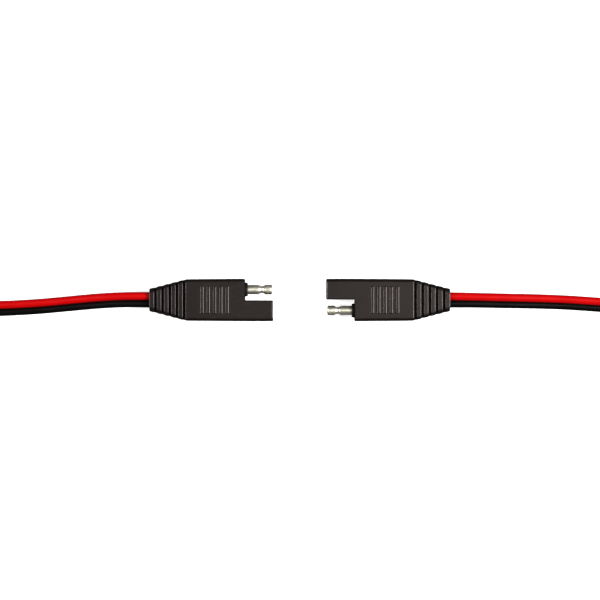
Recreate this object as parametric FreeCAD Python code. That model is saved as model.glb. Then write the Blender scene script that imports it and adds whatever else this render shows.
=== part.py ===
"""Two-pole quick connector for solar and battery cables: two alike halves that plug into each other.

Each half has one bare bullet pin and one shrouded socket, side by side, so that two halves mate when one of
them is turned round by half a turn. A half is an inner terminal holder with a pin terminal and a socket
terminal, two stranded leads crimped into them, and a soft housing moulded over it all, with a grooved boot
that lets the leads flex. The halves lie unplugged on a flat surface, face to face.

Frame: millimetres, +Z up from the surface that the halves lie on. The origin is on that surface, midway
between the two halves. +X runs along the mating axis from the left half to the right half, and +Y is the
side of the red leads.

A half is modelled in its own frame first: the origin is at the centre of its front face, and +X points at
the mating half. The pin is at +Y and the socket at -Y.
"""

import math
import os

import FreeCAD
import Part

Vector = FreeCAD.Vector

# Housing
BODY_LENGTH = 26.1
BODY_WIDTH_FRONT = 18.7
BODY_WIDTH_REAR = 18.3
THICKNESS = 9.6
EDGE_ROUND = 1.5
MIDDLE_ROUND = 0.6
MIDDLE_CLEARANCE = 0.15  # from the middle plane to a shroud, so that mated shrouds pass each other
NOSE_CHAMFER = 0.4
REAR_ROUND = 0.3
SHROUD_LENGTH = 12.4
SHROUD_TIP_ROUND = 0.55
MOUTH_RADIUS = 3.3
MOUTH_DEPTH = 1.6
MOUTH_CHAMFER = 0.3

# Grip ribs, on both broad faces
RIB_COUNT = 5
RIBS_MIDDLE = -13.35
RIB_PITCH = 2.75
RIB_WIDTH = 1.7
RIB_LENGTH = 12.2
RIB_HEIGHT = 0.45
RIB_CORNER = 0.4
RIB_ROUND = 0.4

# Boot behind the body: fins with grooves between them round a continuous core
FIN_COUNT = 5
FIN_LENGTH = 2.0
LAST_FIN_LENGTH = 2.15
GROOVE_LENGTH = 1.15
BOOT_START_WIDTH = 18.2
BOOT_END_WIDTH = 9.9
BOOT_START_THICKNESS = 9.4
BOOT_END_THICKNESS = 8.2
BOOT_END_ROUND = 2.4
GROOVE_DEPTH_SIDE = 0.15
GROOVE_DEPTH_FACE = 1.2
FIN_EDGE_ROUND = 0.25

# Terminals, both rolled from sheet
TERMINAL_OFFSET = 4.6  # from the middle plane to either terminal's axis
PIN_LENGTH = 11.9
PIN_HEAD_RADIUS = 2.25
PIN_SHANK_RADIUS = 2.05
PIN_WAIST_RADIUS = 1.45
PIN_WAIST_START = 5.9
PIN_WAIST_END = 8.9
PIN_TIP_ROUND = 0.6
PIN_TIP_HOLE_RADIUS = 1.0
SHEET = 0.4
SOCKET_RADIUS = 2.3
SOCKET_FLOOR = 0.6
SOCKET_NECK_START = -0.6
SOCKET_NECK_STEP = 0.9  # how much narrower the socket is behind its floor
SOCKET_MOUTH = 11.2
SOCKET_LEAD_IN = 0.25
SEAM_WIDTH = 0.22
SOCKET_SLIT_WIDTH = 0.4

# Where each slit lies round its terminal, in degrees from the top, positive towards the half's -Y
LEFT_SEAM_TURN = 180
RIGHT_SEAM_TURN = -16
SOCKET_SLIT_TURN = 180

# Where both terminals narrow and are crimped
BARREL_END = -4.0  # where a terminal narrows into its wire crimp
WIRE_CRIMP = (-5.2, -9.6)
JACKET_CRIMP = (-10.4, -14.0)
CRIMP_GAP = 0.02

# Terminal holder
HOLDER_FRONT = -0.9
HOLDER_REAR = -14.5
HOLDER_WIDTH = 15.4
HOLDER_THICKNESS = 6.2
HOLDER_ROUND = 0.8
COLLAR_RADIUS = 3.1
COLLAR_LENGTH = 1.2
COLLAR_CHAMFER = 0.3
SLEEVE_RADIUS = 3.2
ROOT_DEPTH = 1.0  # how deep the collar and the sleeve start inside the holder's block

# Leads
JACKET_RADIUS = 1.75
JACKET_BORE_RADIUS = 1.0
STRANDS_RADIUS = 0.95
BARE_LENGTH = 9.0
BOND_HALF = 1.73  # half the distance between two bonded leads, a little under the jacket's radius
BOOT_HALF = 1.92  # the same inside the boot, where the bond is parted
EXIT_HALF = 1.8  # the same just inside the boot's end, where the bond begins
STRANDS_START = -5.4
MIN_BEND = 5 * 2 * JACKET_RADIUS

# How far a cut runs past the shape that it opens
CUT_PAST = 1.0

# Round faces start and end at this turn about their axis, clear of the planes that other faces lie in
SEAM_TURN = 20

# The gap between the halves as they lie, from one shroud's tip to the other's
TIP_GAP = 23.3

BOOT_LENGTH = FIN_COUNT * GROOVE_LENGTH + (FIN_COUNT - 1) * FIN_LENGTH + LAST_FIN_LENGTH
FACE_X = TIP_GAP / 2 + SHROUD_LENGTH
EXIT_X = FACE_X + BODY_LENGTH + BOOT_LENGTH
MIDDLE_Z = THICKNESS / 2 + RIB_HEIGHT

# Route of each half's pair of leads, as (distance beyond the boot's end, Y of the pair's middle, height of
# the pair's middle, roll in degrees that lifts the red lead, half the distance between the two leads).
IN_HOUSING = [
    (-30.5, 0.0, MIDDLE_Z, 0, TERMINAL_OFFSET),
    (-23.5, 0.0, MIDDLE_Z, 0, TERMINAL_OFFSET),
    (-13.5, 0.0, MIDDLE_Z, 4, BOOT_HALF),
]
LEFT_ROUTE = IN_HOUSING + [
    (-4.5, 0.0, MIDDLE_Z + 0.05, 16, EXIT_HALF),
    (4.5, 0.15, MIDDLE_Z - 0.05, 19, BOND_HALF),
    (13.5, 0.1, 4.9, 20, BOND_HALF),
    (24.0, -0.55, 4.1, 21, BOND_HALF),
    (36.0, -1.7, 3.1, 22, BOND_HALF),
    (50.0, -3.0, 2.45, 22, BOND_HALF),
    (66.0, -3.85, 2.4, 21, BOND_HALF),
    (84.0, -3.9, 2.3, 18, BOND_HALF),
    (103.0, -2.8, 2.1, 11, BOND_HALF),
    (121.0, -1.6, 1.9, 3, BOND_HALF + 0.6),
    (137.0, -1.0, JACKET_RADIUS, 0, 4.2),
    (150.0, -0.9, JACKET_RADIUS, 0, 6.6),
]
RIGHT_ROUTE = IN_HOUSING + [
    (-4.5, 0.0, MIDDLE_Z + 0.05, 22, EXIT_HALF),
    (4.5, 0.0, MIDDLE_Z - 0.05, 26, BOND_HALF),
    (13.5, -0.15, 4.95, 28, BOND_HALF),
    (24.5, -0.4, 4.2, 30, BOND_HALF),
    (37.0, -0.6, 3.35, 32, BOND_HALF),
    (51.0, -1.05, 2.75, 34, BOND_HALF),
    (67.0, -2.2, 2.75, 34, BOND_HALF),
    (85.0, -3.4, 2.6, 29, BOND_HALF),
    (104.0, -3.5, 2.3, 18, BOND_HALF),
    (122.0, -2.5, 2.0, 6, BOND_HALF + 0.5),
    (138.0, -1.5, JACKET_RADIUS, 0, 3.9),
    (150.0, -1.1, JACKET_RADIUS, 0, 6.2),
]


def section(x, y_low, y_high, thickness, round_low, round_high):
    """A closed rectangle in the plane at x, with one corner radius on its low Y side, one on its high."""
    half = thickness / 2
    corners = [
        (y_high, half, round_high),
        (y_low, half, round_low),
        (y_low, -half, round_low),
        (y_high, -half, round_high),
    ]
    middle = (y_low + y_high) / 2
    ends = []
    for y, z, radius in corners:
        inward_y = math.copysign(radius, middle - y)
        inward_z = math.copysign(radius, -z)
        centre = Vector(x, y + inward_y, z + inward_z)
        on_side = Vector(x, y, z + inward_z)
        on_face = Vector(x, y + inward_y, z)
        bulge = centre + Vector(0, -inward_y, -inward_z) * math.sqrt(0.5)
        ends.append((on_side, bulge, on_face))
    edges = []
    for index, (on_side, bulge, on_face) in enumerate(ends):
        start, stop = (on_side, on_face) if index % 2 == 0 else (on_face, on_side)
        edges.append(Part.Arc(start, bulge, stop).toShape())
        following = ends[(index + 1) % 4]
        joined = following[2] if index % 2 == 0 else following[0]
        edges.append(Part.LineSegment(stop, joined).toShape())
    return Part.Wire(edges)


def centred_section(x, width, thickness, radius):
    return section(x, -width / 2, width / 2, thickness, radius, radius)


def loft(*wires):
    return Part.makeLoft(list(wires), True, True)


def end_edges(shape, *planes):
    """The edges of the shape that lie wholly in one of the planes at those X values."""
    found = []
    for edge in shape.Edges:
        box = edge.BoundBox
        if any(abs(box.XMin - x) < 1e-5 and abs(box.XMax - x) < 1e-5 for x in planes):
            found.append(edge)
    return found


def bar(x_start, x_end, radius, y=0.0):
    """A cylinder along X."""
    made = Part.makeCylinder(radius, x_end - x_start, Vector(x_start, y, 0), Vector(1, 0, 0))
    made.rotate(Vector(0, y, 0), Vector(1, 0, 0), SEAM_TURN)
    return made


def body_block():
    """The grip part of the housing, its nose chamfered except where the shroud carries on."""
    block = loft(
        centred_section(-BODY_LENGTH, BODY_WIDTH_REAR, THICKNESS, EDGE_ROUND),
        centred_section(-NOSE_CHAMFER, BODY_WIDTH_FRONT, THICKNESS, EDGE_ROUND),
    )
    block = block.makeFillet(REAR_ROUND, end_edges(block, -BODY_LENGTH))
    outer = BODY_WIDTH_FRONT / 2
    inset = NOSE_CHAMFER
    nose = loft(
        section(-NOSE_CHAMFER, -MIDDLE_CLEARANCE, outer, THICKNESS, MIDDLE_ROUND, EDGE_ROUND),
        section(
            0, -MIDDLE_CLEARANCE, outer - inset, THICKNESS - 2 * inset, MIDDLE_ROUND, EDGE_ROUND - inset / 2
        ),
    )
    return block.fuse(nose)


def shroud():
    """The arm that surrounds the socket. Its outer edges are rounded like the body's."""
    outer = -BODY_WIDTH_FRONT / 2
    start = section(-NOSE_CHAMFER, outer, -MIDDLE_CLEARANCE, THICKNESS, EDGE_ROUND, MIDDLE_ROUND)
    arm = Part.Face(start).extrude(Vector(SHROUD_LENGTH + NOSE_CHAMFER, 0, 0))
    arm = arm.makeFillet(SHROUD_TIP_ROUND, end_edges(arm, SHROUD_LENGTH))
    mouth_start = SHROUD_LENGTH - MOUTH_DEPTH
    arm = arm.cut(bar(mouth_start, SHROUD_LENGTH, MOUTH_RADIUS, -TERMINAL_OFFSET))
    flare = Part.makeCone(
        MOUTH_RADIUS,
        MOUTH_RADIUS + MOUTH_CHAMFER,
        MOUTH_CHAMFER,
        Vector(SHROUD_LENGTH - MOUTH_CHAMFER, -TERMINAL_OFFSET, 0),
        Vector(1, 0, 0),
    )
    return arm.cut(flare)


def rib(x, face):
    """One raised grip rib. face is 1 for the upper broad face and -1 for the lower one."""
    sunk = 0.5
    top = THICKNESS / 2 + RIB_HEIGHT
    height = RIB_HEIGHT + sunk
    corner = Vector(x - RIB_WIDTH / 2, -RIB_LENGTH / 2, top - height)
    made = Part.makeBox(RIB_WIDTH, RIB_LENGTH, height, corner)
    made = made.makeFillet(RIB_CORNER, [e for e in made.Edges if abs(e.BoundBox.ZLength - height) < 1e-5])
    made = made.makeFillet(RIB_ROUND, [e for e in made.Edges if abs(e.BoundBox.ZMin - top) < 1e-5])
    if face < 0:
        made.rotate(Vector(0, 0, 0), Vector(1, 0, 0), 180)
    return made


def ribs():
    first = RIBS_MIDDLE - RIB_PITCH * (RIB_COUNT - 1) / 2
    return [rib(first + RIB_PITCH * index, face) for index in range(RIB_COUNT) for face in (1, -1)]


def boot_size(behind, inset_side=0.0, inset_face=0.0):
    """The boot's width and thickness at that distance behind the body."""
    share = behind / BOOT_LENGTH
    width = BOOT_START_WIDTH + (BOOT_END_WIDTH - BOOT_START_WIDTH) * share
    thickness = BOOT_START_THICKNESS + (BOOT_END_THICKNESS - BOOT_START_THICKNESS) * share
    return width - 2 * inset_side, thickness - 2 * inset_face


def boot_section(behind, inset_side=0.0, inset_face=0.0):
    width, thickness = boot_size(behind, inset_side, inset_face)
    radius = EDGE_ROUND + (BOOT_END_ROUND - EDGE_ROUND) * behind / BOOT_LENGTH - inset_side
    return centred_section(-BODY_LENGTH - behind, width, thickness, radius)


def fins():
    """The boot's fins, each with softened edges."""
    made = []
    for index in range(FIN_COUNT):
        start = GROOVE_LENGTH + index * (FIN_LENGTH + GROOVE_LENGTH)
        stop = start + (FIN_LENGTH if index < FIN_COUNT - 1 else LAST_FIN_LENGTH)
        fin = loft(boot_section(start), boot_section(stop))
        edges = end_edges(fin, -BODY_LENGTH - start, -BODY_LENGTH - stop)
        made.append(fin.makeFillet(FIN_EDGE_ROUND, edges))
    return made


def boot_core():
    overlap = 0.5
    return loft(
        boot_section(-overlap, GROOVE_DEPTH_SIDE, GROOVE_DEPTH_FACE),
        boot_section(BOOT_LENGTH - overlap, GROOVE_DEPTH_SIDE, GROOVE_DEPTH_FACE),
    )


def turned(outline):
    """A solid of revolution about X from a closed outline of (x, radius) points.

    A step of the outline that is a pair of such points is an arc through the first one to the second one.
    """
    edges = []
    points = [step if isinstance(step[0], (int, float)) else step[-1] for step in outline]
    for index, step in enumerate(outline):
        start = Vector(points[index - 1][0], points[index - 1][1], 0)
        stop = Vector(points[index][0], points[index][1], 0)
        if isinstance(step[0], (int, float)):
            edges.append(Part.LineSegment(start, stop).toShape())
        else:
            via = Vector(step[0][0], step[0][1], 0)
            edges.append(Part.Arc(start, via, stop).toShape())
    made = Part.Face(Part.Wire(edges)).revolve(Vector(0, 0, 0), Vector(1, 0, 0), 360)
    made.rotate(Vector(0, 0, 0), Vector(1, 0, 0), SEAM_TURN)
    return made


def crimp_outer(wire_radius, jacket_radius):
    """The rear outline that both terminals share, from the neck back to the end of the jacket crimp."""
    return [
        (WIRE_CRIMP[0], wire_radius),
        (WIRE_CRIMP[1], wire_radius),
        (JACKET_CRIMP[0], jacket_radius),
        (JACKET_CRIMP[1], jacket_radius),
    ]


CRIMP_OUTSIDE = crimp_outer(STRANDS_RADIUS + CRIMP_GAP + SHEET, JACKET_RADIUS + CRIMP_GAP + SHEET)
CRIMP_INSIDE = crimp_outer(STRANDS_RADIUS + CRIMP_GAP, JACKET_RADIUS + CRIMP_GAP)


def pin_front(inset):
    """The pin's outline from its tip to its barrel's end, inset by the sheet's thickness for the inside."""
    head = PIN_HEAD_RADIUS - inset
    tip = PIN_LENGTH - inset
    bend = PIN_TIP_ROUND - inset * 0.5
    halfway = (PIN_WAIST_START + PIN_WAIST_END) / 2
    corner = (tip - bend * (1 - math.sqrt(0.5)), head - bend * (1 - math.sqrt(0.5)))
    return [
        (tip, PIN_TIP_HOLE_RADIUS),
        (tip, head - bend),
        (corner, (tip - bend, head)),
        (PIN_WAIST_END, head),
        ((halfway, PIN_WAIST_RADIUS - inset), (PIN_WAIST_START, PIN_SHANK_RADIUS - inset)),
        (BARREL_END, PIN_SHANK_RADIUS - inset),
    ]


def socket_front(radius, mouth_radius):
    """The socket's outline from its mouth to its barrel's end."""
    return [
        (SOCKET_MOUTH, mouth_radius),
        (SOCKET_MOUTH - SOCKET_LEAD_IN, radius),
        (SOCKET_FLOOR, radius),
        (SOCKET_NECK_START, radius - SOCKET_NECK_STEP),
        (BARREL_END, radius - SOCKET_NECK_STEP),
    ]


def axis_outline(front):
    """A solid outline from the axis round the outside, for the cavity that a terminal leaves."""
    return [(front[0][0], 0)] + front + CRIMP_OUTSIDE + [(JACKET_CRIMP[1], 0)]


def reversed_outline(outline):
    """The same outline walked the other way, with its arcs kept."""
    points = [step if isinstance(step[0], (int, float)) else step[-1] for step in outline]
    walked = [points[-1]]
    for index in range(len(outline) - 1, 0, -1):
        step = outline[index]
        target = points[index - 1]
        walked.append(target if isinstance(step[0], (int, float)) else (step[0], target))
    return walked


def slit(x_start, x_end, width, turn):
    """A thin radial slab along X, turned about it. 0 opens upwards, and a positive turn goes to -Y."""
    slab = Part.makeBox(x_end - x_start, width, 2 * PIN_HEAD_RADIUS, Vector(x_start, -width / 2, 0))
    slab.rotate(Vector(0, 0, 0), Vector(1, 0, 0), turn)
    return slab


def pin_terminal(seam_turn):
    """(terminal, the cavity that it fills): a rolled bullet with a waist, open at its tip."""
    inside = reversed_outline(pin_front(SHEET) + CRIMP_INSIDE)
    tube = turned(pin_front(0.0) + CRIMP_OUTSIDE + inside)
    terminal = tube.cut(slit(BARREL_END, PIN_LENGTH + CUT_PAST, SEAM_WIDTH, seam_turn))
    envelope = turned(axis_outline(pin_front(0.0)))
    return terminal, envelope


def socket_terminal(slit_turn):
    """(terminal, the cavity that it fills): a rolled tube with a slit, open at its mouth."""
    outside = socket_front(SOCKET_RADIUS + SHEET, SOCKET_RADIUS + SHEET)
    bore = socket_front(SOCKET_RADIUS, SOCKET_RADIUS + SOCKET_LEAD_IN)
    tube = turned(outside + CRIMP_OUTSIDE + reversed_outline(bore + CRIMP_INSIDE))
    terminal = tube.cut(slit(BARREL_END, SOCKET_MOUTH + CUT_PAST, SOCKET_SLIT_WIDTH, slit_turn))
    envelope = turned(axis_outline(outside))
    return terminal, envelope


def holder_block():
    """The inner moulding: a block, with a collar round the pin and a sleeve for the socket."""
    length = HOLDER_FRONT - HOLDER_REAR
    corner = Vector(HOLDER_REAR, -HOLDER_WIDTH / 2, -HOLDER_THICKNESS / 2)
    block = Part.makeBox(length, HOLDER_WIDTH, HOLDER_THICKNESS, corner)
    along = [e for e in block.Edges if abs(e.BoundBox.XLength - length) < 1e-5]
    block = block.makeFillet(HOLDER_ROUND, along)
    collar = bar(HOLDER_FRONT - ROOT_DEPTH, COLLAR_LENGTH, COLLAR_RADIUS, TERMINAL_OFFSET)
    collar = collar.makeChamfer(COLLAR_CHAMFER, end_edges(collar, COLLAR_LENGTH))
    sleeve = bar(HOLDER_FRONT - ROOT_DEPTH, SHROUD_LENGTH - MOUTH_DEPTH, SLEEVE_RADIUS, -TERMINAL_OFFSET)
    return block.fuse([collar, sleeve])


def lead_points(side, route, colour):
    """The points of one lead in the row frame. side is -1 for the left half and 1 for the right half."""
    sign = 1 if colour == "red" else -1
    points = []
    for beyond, y, z, roll, half in route:
        aside = sign * half * math.cos(math.radians(roll))
        lift = sign * half * math.sin(math.radians(roll))
        points.append(Vector(side * (EXIT_X + beyond), y + aside, z + lift))
    return points


def smooth_path(points):
    """Straight runs joined by tangent arcs, as a list of edges, with the smallest arc's radius."""
    edges = []
    smallest = math.inf
    position = points[0]
    for before, corner, after in zip(points, points[1:], points[2:], strict=False):
        back = (before - corner).normalize()
        ahead = (after - corner).normalize()
        setback = 0.45 * min(corner.distanceToPoint(before), corner.distanceToPoint(after))
        half_turn = (math.pi - back.getAngle(ahead)) / 2
        radius = setback / math.tan(half_turn)
        smallest = min(smallest, radius)
        start = corner + back * setback
        stop = corner + ahead * setback
        to_centre = (back + ahead).normalize()
        middle = corner + to_centre * (radius / math.cos(half_turn) - radius)
        edges.append(Part.LineSegment(position, start).toShape())
        edges.append(Part.Arc(start, middle, stop).toShape())
        position = stop
    edges.append(Part.LineSegment(position, points[-1]).toShape())
    return edges, smallest


def tube_along(edges, radius):
    """A round solid tube along the edges, its surface in two halves so that no face closes on itself."""
    start = edges[0].valueAt(edges[0].FirstParameter)
    direction = edges[0].tangentAt(edges[0].FirstParameter)
    circle = Part.Circle(start, direction, radius)
    turn = math.radians(SEAM_TURN)
    first_half = Part.ArcOfCircle(circle, turn, turn + math.pi)
    second_half = Part.ArcOfCircle(circle, turn + math.pi, turn + 2 * math.pi)
    ring = Part.Wire([first_half.toShape(), second_half.toShape()])
    return Part.Wire(edges).makePipeShell([ring], True, False)


def lead(name, side, route, colour):
    """(jacket, strands, the full round of the jacket) of one lead, in the row frame."""
    points = lead_points(side, route, colour)
    edges, smallest = smooth_path(points)
    length = sum(edge.Length for edge in edges)
    print(f"{name}: {length:.1f} mm long, smallest bend radius {smallest:.1f} mm")
    if smallest < MIN_BEND:
        raise ValueError(f"{name} bends tighter than {MIN_BEND} mm")
    full = tube_along(edges, JACKET_RADIUS)
    jacket = full.cut(tube_along(edges, JACKET_BORE_RADIUS))
    expected = math.pi * (JACKET_RADIUS**2 - JACKET_BORE_RADIUS**2) * length
    if abs(jacket.Volume - expected) > 0.01 * expected:
        raise ValueError(f"{name}: jacket volume {jacket.Volume:.1f}, expected {expected:.1f}")
    into_crimp = Vector(side * (FACE_X - STRANDS_START), points[0].y, points[0].z)
    beyond = points[-1] + (points[-1] - points[-2]).normalize() * BARE_LENGTH
    core_edges = [
        Part.LineSegment(into_crimp, points[0]).toShape(),
        *edges,
        Part.LineSegment(points[-1], beyond).toShape(),
    ]
    return jacket, tube_along(core_edges, STRANDS_RADIUS), full


def placed(shape, side):
    """A copy of a half's shape, moved from the half's own frame to its place in the row frame."""
    moved = shape.copy()
    if side > 0:
        moved.rotate(Vector(0, 0, 0), Vector(0, 0, 1), 180)
    moved.translate(Vector(side * FACE_X, 0, MIDDLE_Z))
    return moved


def offset_y(shape, y):
    moved = shape.copy()
    moved.translate(Vector(0, y, 0))
    return moved


def half(name, side, route, seam_turn):
    """The nodes of one half, as a dict of node name to shape in the row frame."""
    red_jacket, red_strands, red_full = lead(f"{name} red lead", side, route, "red")
    black_jacket, black_strands, black_full = lead(f"{name} black lead", side, route, "black")
    pin, pin_cavity = pin_terminal(seam_turn)
    socket, socket_cavity = socket_terminal(SOCKET_SLIT_TURN)
    pin_cavity = placed(offset_y(pin_cavity, TERMINAL_OFFSET), side)
    socket_cavity = placed(offset_y(socket_cavity, -TERMINAL_OFFSET), side)
    bores = [
        placed(bar(HOLDER_REAR - CUT_PAST, JACKET_CRIMP[1] + CUT_PAST, JACKET_RADIUS, y), side)
        for y in (TERMINAL_OFFSET, -TERMINAL_OFFSET)
    ]
    whole_holder = placed(holder_block(), side)
    holder = whole_holder.cut([pin_cavity, socket_cavity, *bores])
    outside = body_block().fuse([shroud(), boot_core(), *fins(), *ribs()])
    housing = placed(outside, side).cut([whole_holder, red_full, black_full])
    return {
        f"{name}_housing": housing,
        f"{name}_terminal_holder": holder,
        f"{name}_pin_terminal": placed(offset_y(pin, TERMINAL_OFFSET), side),
        f"{name}_socket_terminal": placed(offset_y(socket, -TERMINAL_OFFSET), side),
        f"{name}_red_jacket": red_jacket,
        f"{name}_black_jacket": black_jacket,
        f"{name}_red_strands": red_strands,
        f"{name}_black_strands": black_strands,
    }


def main():
    os.makedirs("parts", exist_ok=True)
    nodes = {
        **half("left", -1, LEFT_ROUTE, LEFT_SEAM_TURN),
        **half("right", 1, RIGHT_ROUTE, RIGHT_SEAM_TURN),
    }
    for node, shape in nodes.items():
        if not shape.isValid():
            raise ValueError(f"{node} is not a valid shape")
        print(f"{node}: {len(shape.Solids)} solid, {shape.Volume:.1f} mm3")
        shape.exportStep(f"parts/{node}.step")


main()
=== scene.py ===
"""Looks of the two-pole solar cable connector: two moulded halves lying unplugged on a pale surface, each
on its red and black twin lead. Everything is in metres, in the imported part's frame, except the leads' routes,
which are in millimetres."""

import math
import random

import bmesh
import bpy
from mathutils import Matrix, Vector


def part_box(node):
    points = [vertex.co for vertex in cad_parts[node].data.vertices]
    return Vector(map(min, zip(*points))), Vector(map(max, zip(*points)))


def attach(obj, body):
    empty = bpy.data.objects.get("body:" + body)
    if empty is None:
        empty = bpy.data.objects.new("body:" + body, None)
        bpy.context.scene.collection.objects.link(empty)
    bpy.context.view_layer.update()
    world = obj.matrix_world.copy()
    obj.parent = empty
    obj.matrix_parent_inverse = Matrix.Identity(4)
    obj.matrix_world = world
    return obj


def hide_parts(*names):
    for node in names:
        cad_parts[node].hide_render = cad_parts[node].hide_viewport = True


MM = 0.001

# Camera: straight above the pair
VIEW_WIDTH = 264 * MM
CAMERA_HEIGHT = 1.5
SENSOR_WIDTH = 36.0
VIEW_CENTRE = (0.11 * MM, 0.0)

# Leads
JACKET_RADIUS = 1.75 * MM
CURVE_STEPS = 16
ROUND_STEPS = 10
TERMINAL_OFFSET = 4.6
BOND_HALF = 1.73
BOOT_HALF = 1.92
EXIT_HALF = 1.8
MIDDLE_HEIGHT = 5.25

# Each half's pair of leads, in millimetres: (distance beyond the boot's end, Y of the pair's middle, height
# of the pair's middle, roll in degrees that lifts the red lead, half the distance between the two leads).
IN_HOUSING = [
    (-28.0, 0.0, MIDDLE_HEIGHT, 0, TERMINAL_OFFSET),
    (-23.5, 0.0, MIDDLE_HEIGHT, 0, TERMINAL_OFFSET),
    (-13.5, 0.0, MIDDLE_HEIGHT, 4, BOOT_HALF),
]
LEFT_ROUTE = IN_HOUSING + [
    (-4.5, 0.0, MIDDLE_HEIGHT + 0.05, 16, EXIT_HALF),
    (4.5, 0.15, MIDDLE_HEIGHT - 0.05, 19, BOND_HALF),
    (13.5, 0.1, 4.9, 20, BOND_HALF),
    (24.0, -0.55, 4.1, 21, BOND_HALF),
    (36.0, -1.7, 3.1, 22, BOND_HALF),
    (50.0, -3.0, 2.45, 22, BOND_HALF),
    (66.0, -3.85, 2.4, 21, BOND_HALF),
    (84.0, -3.9, 2.3, 18, BOND_HALF),
    (103.0, -2.8, 2.1, 11, BOND_HALF),
    (121.0, -1.6, 1.9, 3, BOND_HALF + 0.6),
    (137.0, -1.0, 1.75, 0, 4.2),
    (150.0, -0.9, 1.75, 0, 6.6),
]
RIGHT_ROUTE = IN_HOUSING + [
    (-4.5, 0.0, MIDDLE_HEIGHT + 0.05, 22, EXIT_HALF),
    (4.5, 0.0, MIDDLE_HEIGHT - 0.05, 26, BOND_HALF),
    (13.5, -0.15, 4.95, 28, BOND_HALF),
    (24.5, -0.4, 4.2, 30, BOND_HALF),
    (37.0, -0.6, 3.35, 32, BOND_HALF),
    (51.0, -1.05, 2.75, 34, BOND_HALF),
    (67.0, -2.2, 2.75, 34, BOND_HALF),
    (85.0, -3.4, 2.6, 29, BOND_HALF),
    (104.0, -3.5, 2.3, 18, BOND_HALF),
    (122.0, -2.5, 2.0, 6, BOND_HALF + 0.5),
    (138.0, -1.5, 1.75, 0, 3.9),
    (150.0, -1.1, 1.75, 0, 6.2),
]

# Bare copper wires, in rings round a middle one
BARE_LENGTH = 9 * MM
WIRE_COVERED = 6 * MM
WIRE_RADIUS = 0.19 * MM
WIRE_RINGS = (1, 6, 12)
WIRE_PITCH = 28 * MM
WIRE_PACKING = 0.97
WIRE_STEPS = 26
WIRE_SIDES = 8
TURN_JITTER = 0.05  # radians
LENGTH_JITTER = 0.35 * MM
MOST_OPENING = 0.012  # share of the spread, for each millimetre beyond the jacket

# Materials
# Painted shade in grooves and corners found by ambient occlusion: darker colour, dimmed reflection and a
# rougher surface there.
GROOVE_PAINTED_SHADE = (0.002, 0.0018, 0.0018)
GROOVE_MATT = 0.6
GROOVE_SHADE_GLOSS = 0.06
GROOVE_REACH = 2.2 * MM
# Radius of the lighter rubbed edges: partly wear, partly a painted highlight on the rib and fin edges.
WORN_EDGE_AND_HIGHLIGHT = 0.22 * MM
SHEEN = (1.0, 0.89, 0.88)

# Stage and lights, with each power in watts
FLOOR_SIZE = 6.0
FLOOR_BOUNCE = 0.06
FLOOR_LIFT = 0.5
STUDIO_GLOW = 0.055
SKY_TINT = (1.0, 0.96, 0.88)
BACKDROP = 0.95
END_LIGHT_REACH = 1.2
END_LIGHT_HEIGHT = 1.34
END_LIGHT_SIZE = (0.54, 0.6)
END_LIGHT_POWER = {"right": 57, "left": 25.5}
TOP_LIGHT_PLACE = (0.09, 0, 0.6)
TOP_LIGHT_SIZE = (0.25, 0.24)
TOP_LIGHT_POWER = 0.16

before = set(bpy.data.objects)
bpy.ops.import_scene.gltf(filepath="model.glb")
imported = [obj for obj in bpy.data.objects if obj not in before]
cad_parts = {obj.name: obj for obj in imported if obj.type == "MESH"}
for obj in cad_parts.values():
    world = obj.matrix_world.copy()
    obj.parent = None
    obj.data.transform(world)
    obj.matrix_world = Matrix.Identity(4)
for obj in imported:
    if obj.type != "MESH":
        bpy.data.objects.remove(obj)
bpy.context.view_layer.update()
housings = {side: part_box(f"{side}_housing") for side in ("left", "right")}
SIDES = {"left": (-1, LEFT_ROUTE), "right": (1, RIGHT_ROUTE)}
EXIT_X = {"left": housings["left"][0].x, "right": housings["right"][1].x}


# ---------------------------------------------------------------- camera


def make_camera():
    data = bpy.data.cameras.new("camera")
    data.sensor_width = SENSOR_WIDTH
    data.lens = SENSOR_WIDTH * CAMERA_HEIGHT / VIEW_WIDTH
    camera = bpy.data.objects.new("camera", data)
    camera.location = (*VIEW_CENTRE, MIDDLE_HEIGHT * MM + CAMERA_HEIGHT)
    bpy.context.scene.collection.objects.link(camera)
    bpy.context.scene.camera = camera


# ---------------------------------------------------------------- leads


def lead_points(side, colour):
    """The control points of one lead's spline, the same route as its CAD solid's."""
    outward, route = SIDES[side]
    sign = 1 if colour == "red" else -1
    points = []
    for beyond, y, z, roll, half in route:
        angle = math.radians(roll)
        x = EXIT_X[side] + outward * beyond * MM
        aside = (y + sign * half * math.cos(angle)) * MM
        height = (z + sign * half * math.sin(angle)) * MM
        points.append(Vector((x, aside, height)))
    return points


def spline_curve(name, points, radius):
    """A round tube on a smooth NURBS spline with those control points."""
    data = bpy.data.curves.new(name, "CURVE")
    data.dimensions = "3D"
    spline = data.splines.new("NURBS")
    spline.points.add(len(points) - 1)
    for control, point in zip(spline.points, points):
        control.co = (*point, 1)
    spline.order_u = 3
    spline.use_endpoint_u = True
    spline.resolution_u = CURVE_STEPS
    data.bevel_depth = radius
    data.bevel_resolution = ROUND_STEPS
    data.use_fill_caps = True
    made = bpy.data.objects.new(name, data)
    bpy.context.scene.collection.objects.link(made)
    return made


def mesh_object(name, bm):
    data = bpy.data.meshes.new(name)
    bm.to_mesh(data)
    bm.free()
    made = bpy.data.objects.new(name, data)
    bpy.context.scene.collection.objects.link(made)
    return made


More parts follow.
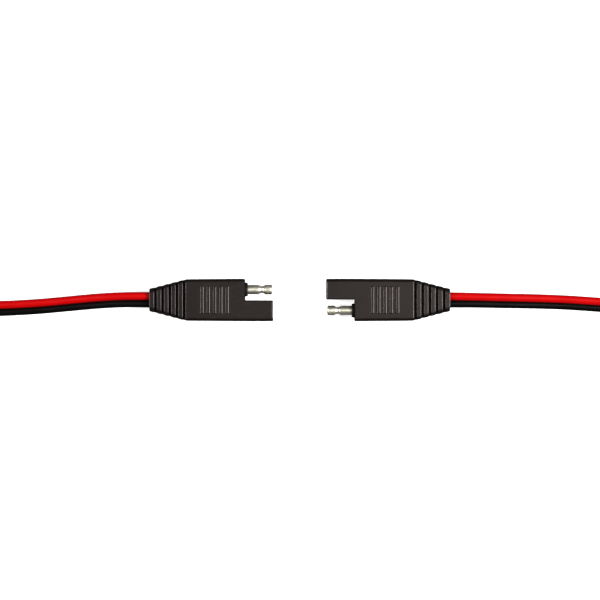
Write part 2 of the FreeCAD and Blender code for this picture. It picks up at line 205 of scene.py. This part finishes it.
def add_tube(bm, path, radius, sides):
    """A closed round tube along the points of path."""
    rings = []
    for index, point in enumerate(path):
        ahead = path[min(index + 1, len(path) - 1)] - path[max(index - 1, 0)]
        ahead.normalize()
        across = ahead.cross(Vector((0, 0, 1))).normalized()
        up = across.cross(ahead)
        ring = []
        for step in range(sides):
            turn = 2 * math.pi * step / sides
            ring.append(bm.verts.new(point + across * radius * math.cos(turn) + up * radius * math.sin(turn)))
        rings.append(ring)
    for ring, following in zip(rings, rings[1:]):
        for step in range(sides):
            after = (step + 1) % sides
            face = bm.faces.new((ring[step], ring[after], following[after], following[step]))
            face.smooth = True
    bm.faces.new(rings[0][::-1])
    bm.faces.new(rings[-1])


def bare_wires(name, points, chance):
    """The twisted copper wires at a lead's stripped end, opening a little towards their tips."""
    end = points[-1]
    along = (points[-1] - points[-2]).normalized()
    across = along.cross(Vector((0, 0, 1))).normalized()
    up = across.cross(along)
    bm = bmesh.new()
    for ring, count in enumerate(WIRE_RINGS):
        for index in range(count):
            start_turn = 2 * math.pi * index / count + chance.uniform(-TURN_JITTER, TURN_JITTER)
            reach = BARE_LENGTH - chance.uniform(0, LENGTH_JITTER)
            opening = chance.uniform(0.0, MOST_OPENING)
            path = []
            for step in range(WIRE_STEPS + 1):
                distance = -WIRE_COVERED + (WIRE_COVERED + reach) * step / WIRE_STEPS
                turn = start_turn + 2 * math.pi * distance / WIRE_PITCH
                spread = 2 * WIRE_RADIUS * ring * WIRE_PACKING
                if distance > 0:
                    spread *= 1 + opening * distance / MM
                path.append(end + along * distance + (across * math.cos(turn) + up * math.sin(turn)) * spread)
            add_tube(bm, path, WIRE_RADIUS, WIRE_SIDES)
    return mesh_object(name, bm)


def make_leads(materials):
    """All four leads, each with its bare wires, in place of the CAD jackets and strands."""
    chance = random.Random(7)
    for side in SIDES:
        for colour in ("red", "black"):
            points = lead_points(side, colour)
            jacket = spline_curve(f"{side}_{colour}_lead", points, JACKET_RADIUS)
            jacket.data.materials.append(materials[f"{colour}_jacket"])
            strands = bare_wires(f"{side}_{colour}_wires", points, chance)
            strands.data.materials.append(materials["copper"])
            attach(jacket, f"{side}_half")
            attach(strands, f"{side}_half")
            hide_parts(f"{side}_{colour}_jacket")
            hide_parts(f"{side}_{colour}_strands")


# ---------------------------------------------------------------- materials


class Nodes:
    """Short calls for building one material's nodes."""

    def __init__(self, name):
        self.material = bpy.data.materials.new(name)
        self.material.use_nodes = True
        self.tree = self.material.node_tree
        self.shader = self.tree.nodes["Principled BSDF"]
        self.place = self.add("ShaderNodeTexCoord").outputs["Object"]

    def add(self, kind, **settings):
        node = self.tree.nodes.new(kind)
        for key, value in settings.items():
            setattr(node, key, value)
        return node

    def link(self, source, target):
        self.tree.links.new(source, target)

    def set(self, **values):
        """Constant values on the shader's own sockets, with _ for a space in a socket's name."""
        for key, value in values.items():
            self.shader.inputs[key.replace("_", " ")].default_value = value

    def noise(self, scale, detail=3.0, roughness=0.5, stretch=(1, 1, 1)):
        """Noise of that many cells to the metre, squeezed by stretch."""
        mapping = self.add("ShaderNodeMapping")
        mapping.inputs["Scale"].default_value = stretch
        self.link(self.place, mapping.inputs["Vector"])
        texture = self.add("ShaderNodeTexNoise")
        texture.inputs["Scale"].default_value = scale
        texture.inputs["Detail"].default_value = detail
        texture.inputs["Roughness"].default_value = roughness
        self.link(mapping.outputs["Vector"], texture.inputs["Vector"])
        return texture.outputs["Fac"]

    def ramp(self, source, low, high, low_at=0.3, high_at=0.7):
        """A smooth change from colour low to colour high as source goes from low_at to high_at."""
        made = self.add("ShaderNodeValToRGB")
        stops = made.color_ramp.elements
        stops[0].position, stops[1].position = low_at, high_at
        stops[0].color, stops[1].color = (*low, 1), (*high, 1)
        self.link(source, made.inputs["Fac"])
        return made.outputs["Color"]

    def span(self, source, low, high, from_low=0.3, from_high=0.7):
        """source from from_low to from_high turned into low to high."""
        made = self.add("ShaderNodeMapRange")
        limits = {"From Min": from_low, "From Max": from_high, "To Min": low, "To Max": high}
        for key, value in limits.items():
            made.inputs[key].default_value = value
        self.link(source, made.inputs["Value"])
        return made.outputs["Result"]

    def mix(self, share, first, second):
        """Colour first where share is 0 and second where it is 1. Each is a socket or a colour."""
        made = self.add("ShaderNodeMix", data_type="RGBA")
        sockets = {(s.name, s.type): s for s in made.inputs}
        self.link(share, sockets["Factor", "VALUE"])
        for key, value in (("A", first), ("B", second)):
            target = sockets[key, "RGBA"]
            if isinstance(value, tuple):
                target.default_value = (*value, 1)
            else:
                self.link(value, target)
        return next(s for s in made.outputs if s.type == "RGBA")

    def bump(self, height, distance, strength=1.0, after=None):
        """A bump of that distance in metres, on top of an earlier one."""
        made = self.add("ShaderNodeBump")
        made.inputs["Distance"].default_value = distance
        made.inputs["Strength"].default_value = strength
        self.link(height, made.inputs["Height"])
        if after is not None:
            self.link(after, made.inputs["Normal"])
        return made.outputs["Normal"]

    def edges(self, radius, softness=0.25):
        """1 on the object's sharp edges and 0 on its open faces, from how far a bevelled normal leans."""
        bevel = self.add("ShaderNodeBevel", samples=6)
        bevel.inputs["Radius"].default_value = radius
        geometry = self.add("ShaderNodeNewGeometry")
        dot = self.add("ShaderNodeVectorMath", operation="DOT_PRODUCT")
        self.link(bevel.outputs["Normal"], dot.inputs[0])
        self.link(geometry.outputs["Normal"], dot.inputs[1])
        return self.span(dot.outputs["Value"], 1.0, 0.0, 1 - softness, 1.0)

    def groove_shade_mask(self, reach):
        """0 on open faces, rising to 1 in grooves and corners narrower than reach: the mask for the painted
        groove shade.
        """
        shade = self.add("ShaderNodeAmbientOcclusion", samples=6)
        shade.inputs["Distance"].default_value = reach
        return self.span(shade.outputs["AO"], 1.0, 0.0, 0.4, 0.9)

    def multiply(self, first, second):
        made = self.add("ShaderNodeMath", operation="MULTIPLY", use_clamp=True)
        self.link(first, made.inputs[0])
        self.link(second, made.inputs[1])
        return made.outputs["Value"]

    def finish(self, colour, roughness, normal):
        self.link(colour, self.shader.inputs["Base Color"])
        self.link(roughness, self.shader.inputs["Roughness"])
        self.link(normal, self.shader.inputs["Normal"])
        return self.material


def moulded_plastic(name, low, high, worn_and_highlight, rough_low, rough_high):
    """Moulded PVC: fine grain, slow colour and gloss variation, lighter rubbed edges that are partly wear and
    partly a painted highlight, and painted shade in the grooves, which are darker and less glossy there.
    """
    n = Nodes(name)
    patches = n.noise(90, detail=4)
    grain = n.noise(5200, detail=2)
    scuffs = n.noise(700, detail=5, roughness=0.65, stretch=(0.35, 1.6, 1))
    groove_shade = n.groove_shade_mask(GROOVE_REACH)
    # Lighter edges where the scuffs fall: partly wear, partly a painted highlight.
    rubbed_and_highlight = n.multiply(n.edges(WORN_EDGE_AND_HIGHLIGHT), n.span(scuffs, 0.35, 1.0, 0.3, 0.6))
    # Colour darkened in grooves and corners: painted shade.
    colour = n.mix(groove_shade, n.mix(rubbed_and_highlight, n.ramp(patches, low, high), worn_and_highlight), GROOVE_PAINTED_SHADE)
    gloss = n.span(scuffs, rough_low, rough_high)
    matt = n.add("ShaderNodeMath", operation="ADD", use_clamp=True)
    n.link(gloss, matt.inputs[0])
    n.link(n.span(groove_shade, 0.0, GROOVE_MATT, 0.0, 1.0), matt.inputs[1])
    normal = n.bump(scuffs, 0.006 * MM, 0.5, after=n.bump(grain, 0.012 * MM, 0.55))
    # Reflection dimmed in grooves and corners: painted shade.
    n.link(n.span(groove_shade, 0.5, GROOVE_SHADE_GLOSS, 0.0, 1.0), n.shader.inputs["Specular IOR Level"])
    n.set(Specular_Tint=(*SHEEN, 1))
    return n.finish(colour, matt.outputs["Value"], normal)


def insulation(name, low, high, rough, gloss):
    """Extruded glossy PVC: faint lengthwise die lines and slow waviness."""
    n = Nodes(name)
    patches = n.noise(120, detail=3)
    lines = n.noise(1500, detail=3, stretch=(0.03, 1, 1))
    specks = n.noise(2600, detail=2)
    colour = n.mix(n.span(specks, 0.0, 0.35, 0.55, 0.8), n.ramp(patches, low, high), low)
    roughness = n.span(lines, rough - 0.05, rough + 0.08)
    normal = n.bump(patches, 0.06 * MM, 0.5, after=n.bump(lines, 0.01 * MM, 0.6))
    n.set(Specular_IOR_Level=gloss)
    return n.finish(colour, roughness, normal)


def nickel(name):
    """Bright nickel plate over rolled brass: fine scratches, warm thin spots and dull smudges."""
    n = Nodes(name)
    patches = n.noise(380, detail=4)
    scratches = n.noise(9000, detail=3, stretch=(0.12, 1, 1))
    smudges = n.noise(900, detail=4, roughness=0.6)
    colour = n.ramp(patches, (0.84, 0.81, 0.63), (0.96, 0.95, 0.84))
    roughness = n.span(smudges, 0.34, 0.5)
    normal = n.bump(smudges, 0.02 * MM, 0.5, after=n.bump(scratches, 0.004 * MM, 0.6))
    n.set(Metallic=1.0)
    return n.finish(colour, roughness, normal)


def copper(name):
    """Bare drawn copper, a little tarnished."""
    n = Nodes(name)
    patches = n.noise(700, detail=4)
    lines = n.noise(7000, detail=2, stretch=(0.1, 1, 1))
    colour = n.ramp(patches, (0.62, 0.25, 0.12), (0.86, 0.44, 0.27))
    roughness = n.span(patches, 0.22, 0.4)
    n.set(Metallic=1.0)
    return n.finish(colour, roughness, n.bump(lines, 0.003 * MM, 0.5))


def make_materials():
    return {
        "housing": moulded_plastic(
            "charcoal_pvc",
            (0.0026, 0.0018, 0.0015),
            (0.0045, 0.0031, 0.0027),
            # Lighter edge colour: partly wear, partly a painted highlight.
            (0.04, 0.037, 0.034),
            0.27,
            0.36,
        ),
        "holder": moulded_plastic(
            # Its third colour is the lighter edge colour: partly wear, partly a painted highlight.
            "black_pvc", (0.002, 0.002, 0.0022), (0.0035, 0.0035, 0.0038), (0.015, 0.015, 0.015), 0.45, 0.6
        ),
        "nickel": nickel("nickel_plate"),
        "red_jacket": insulation("red_insulation", (0.36, 0.0005, 0.001), (0.41, 0.0008, 0.0016), 0.32, 0.16),
        "black_jacket": insulation(
            "black_insulation", (0.0008, 0.0006, 0.0006), (0.0016, 0.0013, 0.0013), 0.3, 0.2
        ),
        "copper": copper("bare_copper"),
    }


def dress_cad_nodes(materials):
    """Gives each CAD node that stays visible its procedural material."""
    looks = {
        "housing": "housing",
        "terminal_holder": "holder",
        "pin_terminal": "nickel",
        "socket_terminal": "nickel",
        "red_jacket": "red_jacket",
        "black_jacket": "black_jacket",
        "red_strands": "copper",
        "black_strands": "copper",
    }
    for side in SIDES:
        for piece, look in looks.items():
            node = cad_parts[f"{side}_{piece}"]
            node.data.materials.clear()
            node.data.materials.append(materials[look])


# ---------------------------------------------------------------- stage and light


def make_floor():
    """A pale table top. It throws back less light than it shows, so dark mouldings keep their contrast."""
    bm = bmesh.new()
    bmesh.ops.create_grid(bm, x_segments=1, y_segments=1, size=FLOOR_SIZE / 2)
    floor = mesh_object("floor", bm)
    n = Nodes("pale_sweep")
    shade = n.noise(3, detail=2)
    n.set(Specular_IOR_Level=0.2, Emission_Color=(1, 1, 1, 1), Emission_Strength=FLOOR_LIFT)
    n.finish(
        n.ramp(shade, (0.90, 0.90, 0.90), (0.92, 0.92, 0.92)),
        n.span(shade, 0.75, 0.85),
        n.bump(n.noise(900), 0.01 * MM, 0.2),
    )
    bounce = n.add("ShaderNodeBsdfDiffuse")
    bounce.inputs["Color"].default_value = (FLOOR_BOUNCE, FLOOR_BOUNCE, FLOOR_BOUNCE, 1)
    chosen = n.add("ShaderNodeMixShader")
    n.link(n.add("ShaderNodeLightPath").outputs["Is Camera Ray"], chosen.inputs["Fac"])
    n.link(bounce.outputs["BSDF"], chosen.inputs[1])
    n.link(n.shader.outputs["BSDF"], chosen.inputs[2])
    n.link(chosen.outputs["Shader"], n.tree.nodes["Material Output"].inputs["Surface"])
    floor.data.materials.append(n.material)


def make_world():
    """A dim studio. Only the camera sees the pale backdrop."""
    world = bpy.data.worlds.new("studio")
    bpy.context.scene.world = world
    world.use_nodes = True
    tree = world.node_tree
    room = tree.nodes["Background"]
    room.inputs["Color"].default_value = (*SKY_TINT, 1)
    room.inputs["Strength"].default_value = STUDIO_GLOW
    backdrop = tree.nodes.new("ShaderNodeBackground")
    backdrop.inputs["Color"].default_value = (BACKDROP, BACKDROP, BACKDROP, 1)
    rays = tree.nodes.new("ShaderNodeLightPath")
    chosen = tree.nodes.new("ShaderNodeMixShader")
    tree.links.new(rays.outputs["Is Camera Ray"], chosen.inputs["Fac"])
    tree.links.new(room.outputs["Background"], chosen.inputs[1])
    tree.links.new(backdrop.outputs["Background"], chosen.inputs[2])
    tree.links.new(chosen.outputs["Shader"], tree.nodes["World Output"].inputs["Surface"])


def softbox(name, place, size, power, tint=(1, 1, 1)):
    """An area light at place, facing the pair. size is its width and length in metres."""
    data = bpy.data.lights.new(name, "AREA")
    data.shape = "RECTANGLE"
    data.size, data.size_y = size
    data.energy = power
    data.color = tint
    light = bpy.data.objects.new(name, data)
    turn = Vector(place).to_track_quat("Z", "Y").to_matrix().to_4x4()
    light.matrix_world = Matrix.Translation(place) @ turn
    bpy.context.scene.collection.objects.link(light)


def make_lights():
    """A keen light at each end of the pair, to pick out the ribs and fins, and a weak warm one overhead."""
    for side, power in END_LIGHT_POWER.items():
        outward = SIDES[side][0]
        place = (outward * END_LIGHT_REACH, 0, END_LIGHT_HEIGHT)
        softbox(f"end_light_{side}", place, END_LIGHT_SIZE, power)
    softbox("top_light", TOP_LIGHT_PLACE, TOP_LIGHT_SIZE, TOP_LIGHT_POWER, SKY_TINT)


# ---------------------------------------------------------------- build

make_camera()
materials = make_materials()
make_leads(materials)
dress_cad_nodes(materials)
make_floor()
make_world()
make_lights()
bpy.context.scene.view_settings.view_transform = "Standard"
